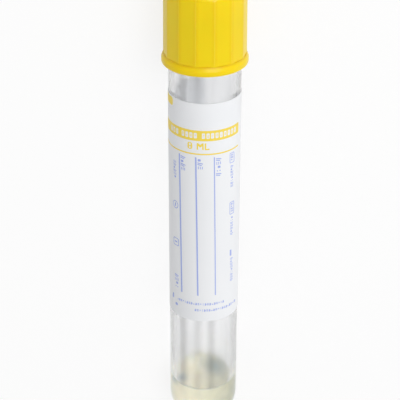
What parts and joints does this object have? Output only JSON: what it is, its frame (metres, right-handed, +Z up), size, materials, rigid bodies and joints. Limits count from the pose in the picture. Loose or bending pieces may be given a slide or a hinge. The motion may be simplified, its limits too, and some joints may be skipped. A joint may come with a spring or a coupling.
{
  "type": "blood collection tube",
  "caption": "Evacuated blood collection tube with a rubber stopper in a plastic shield, wrap label and separator gel, lying on its side",
  "frame": {"origin": "on the surface that the tube lies on, below the centre of its bounding box", "axes": "+Y along the tube towards the closure (the tube's own axis rises 1.2 degrees towards it), +Z up, through the printed front of the label"},
  "size_m": [0.0186, 0.1096, 0.0187],
  "materials": {
    "clear_plastic": "clear injection-moulded PET, glossy",
    "gel": "creamy translucent gel, wet gloss",
    "label_film": "white coated label, satin",
    "yellow_ink": "yellow printing ink, satin",
    "blue_ink": "blue printing ink, satin",
    "butyl_rubber": "grey butyl rubber, matt",
    "yellow_plastic": "yellow moulded polyethylene, glossy"
  },
  "bodies": {
    "tube_body": {"tube": "clear_plastic", "separator_gel": "gel", "label": "label_film", "print_yellow": "yellow_ink", "print_blue": "blue_ink"},
    "stopper_body": {"stopper": "butyl_rubber"},
    "shield_body": {"cap_shield": "yellow_plastic"}
  },
  "joints": [
    {"name": "closure_pull", "type": "slide", "parent": "tube_body", "child": "stopper_body", "axis": [0, 0.9998, 0.0203], "range_m": [0, 0.03]},
    {"name": "closure_twist", "type": "hinge", "parent": "stopper_body", "child": "shield_body", "pos_m": [0, 0.04568, 0.00953], "axis": [0, 0.9998, 0.0203], "continuous": true}
  ]
}
